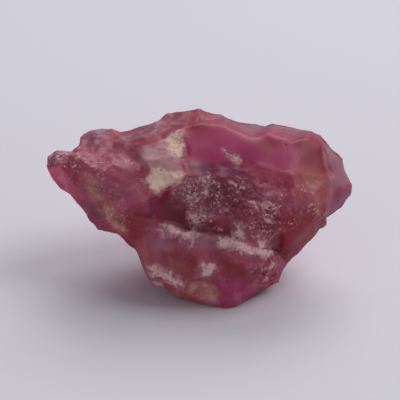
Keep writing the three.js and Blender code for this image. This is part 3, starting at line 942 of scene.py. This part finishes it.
class RUBY_OT_stone(bpy.types.Operator):
    """Break and colour the surface of the stone"""

    bl_idname = "ruby.stone"
    bl_label = "Break the stone"

    def execute(self, context):
        props = context.scene.ruby_stone
        stone = fine_copy(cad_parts[NODE], "rough_ruby", props.mesh_size)
        mesh = stone.data
        points, normals, edges = self.evened_mesh(mesh)
        fields, lift = finish_fields(points, normals)
        even = eased(fields["polish"], *RELIEF_EDGES["even"])[:, None]
        pits = pit_field(points, normals)
        for _ in range(props.polish_passes):
            points = smoothed(points, edges, POLISH_SHARE * even)
        cracks = crack_field(points, normals)
        height, tone = broken_surface(points, normals, fields, lift, props)
        sunk = PIT_DEPTH * eased(pits, *RELIEF_EDGES["pit"])
        height -= sunk + CRACK_DEPTH * eased(cracks, *RELIEF_EDGES["crack"])
        moved = points + normals * (height * eased(points[:, 2], *RESTING_HEIGHTS))[:, None]
        moved[:, 2] = np.maximum(moved[:, 2], 0.0)
        write_points(mesh, moved / MM_PER_M)
        fields.update(pit=pits, crack=cracks, rim=rim_field(normals), tone=tone)
        fields["under"] = eased(-normals[:, 2], *UNDER_FACING)
        fields["relief"] = (height - lift) / (RELIEF_SPREAD * props.shell_height)
        for name, values in fields.items():
            write_field(mesh, name, values)
        mesh.set_sharp_from_angle(angle=SHARP_ANGLE)
        mesh.materials.append(ruby_finish(props))
        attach(stone, BODY)
        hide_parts(NODE)
        return {"FINISHED"}

    def evened_mesh(self, mesh):
        """Smooths the steps that remeshing leaves. Gives the points, their normals and the edges."""
        points, edges = read_points(mesh), read_edges(mesh)
        for part in EVENING_SHARES:
            points = smoothed(points, edges, part)
        write_points(mesh, points)
        return points, read_normals(mesh), edges


class RUBY_OT_stage(bpy.types.Operator):
    """Lay the floor, hang the lights and place the camera"""

    bl_idname = "ruby.stage"
    bl_label = "Set the stage"

    def execute(self, context):
        props = context.scene.ruby_stage
        scene = context.scene
        scene.view_settings.view_transform = "Standard"
        self.floor(scene, props)
        self.lights(scene, props)
        self.camera(scene, props)
        return {"FINISHED"}

    def floor(self, scene, props):
        corners = [(FLOOR_REACH * x, FLOOR_REACH * y, 0) for x, y in ((-1, -1), (1, -1), (1, 1), (-1, 1))]
        mesh = bpy.data.meshes.new("floor")
        mesh.from_pydata(corners, [], [(0, 1, 2, 3)])
        mesh.materials.append(floor_finish(props))
        floor = bpy.data.objects.new("floor", mesh)
        scene.collection.objects.link(floor)

    def lights(self, scene, props):
        world = bpy.data.worlds.new("room")
        world.use_nodes = True
        background = world.node_tree.nodes["Background"]
        background.inputs["Color"].default_value = colour(AIR_COLOUR)
        background.inputs["Strength"].default_value = props.air
        scene.world = world
        for name, place, size, setting in LAMPS:
            lamp = bpy.data.lights.new(name, "AREA")
            lamp.shape = "RECTANGLE"
            lamp.size, lamp.size_y = size
            lamp.energy = getattr(props, setting)
            light = bpy.data.objects.new(name, lamp)
            light.location = place
            light.rotation_euler = (LAMP_AIM - place).to_track_quat("-Z", "Y").to_euler()
            scene.collection.objects.link(light)

    def camera(self, scene, props):
        lens = bpy.data.cameras.new("camera")
        lens.lens = LENS_LENGTH
        lens.sensor_width = SENSOR_WIDTH
        lens.clip_start, lens.clip_end = SIGHT
        rise = Vector((0, math.sin(props.view_tilt), math.cos(props.view_tilt)))
        outward = Vector((0, -math.cos(props.view_tilt), math.sin(props.view_tilt)))
        middle = (FOOT + rise * props.view_rise) / MM_PER_M
        distance = props.view_width * lens.lens / lens.sensor_width / MM_PER_M
        camera = bpy.data.objects.new("camera", lens)
        camera.location = middle + outward * distance
        camera.rotation_euler = (-outward).to_track_quat("-Z", "Y").to_euler()
        scene.collection.objects.link(camera)
        scene.camera = camera


class RUBY_PT_panel(bpy.types.Panel):
    """The steps that make the stone and its stage"""

    bl_idname = "RUBY_PT_panel"
    bl_label = "Rough ruby"
    bl_space_type = "VIEW_3D"
    bl_region_type = "UI"
    bl_category = "Rough ruby"

    def draw(self, context):
        for settings, operator in (("ruby_stone", RUBY_OT_stone), ("ruby_stage", RUBY_OT_stage)):
            box = self.layout.box()
            group = getattr(context.scene, settings)
            for name in group.__annotations__:
                box.prop(group, name)
            box.operator(operator.bl_idname)


CLASSES = (RubyStoneSettings, RubyStageSettings, RUBY_OT_stone, RUBY_OT_stage, RUBY_PT_panel)


def register():
    for cls in CLASSES:
        bpy.utils.register_class(cls)
    bpy.types.Scene.ruby_stone = bpy.props.PointerProperty(type=RubyStoneSettings)
    bpy.types.Scene.ruby_stage = bpy.props.PointerProperty(type=RubyStageSettings)


def unregister():
    del bpy.types.Scene.ruby_stage
    del bpy.types.Scene.ruby_stone
    for cls in reversed(CLASSES):
        bpy.utils.unregister_class(cls)


def main():
    register()
    bpy.ops.ruby.stage()
    bpy.ops.ruby.stone()


if __name__ == "__main__":
    main()
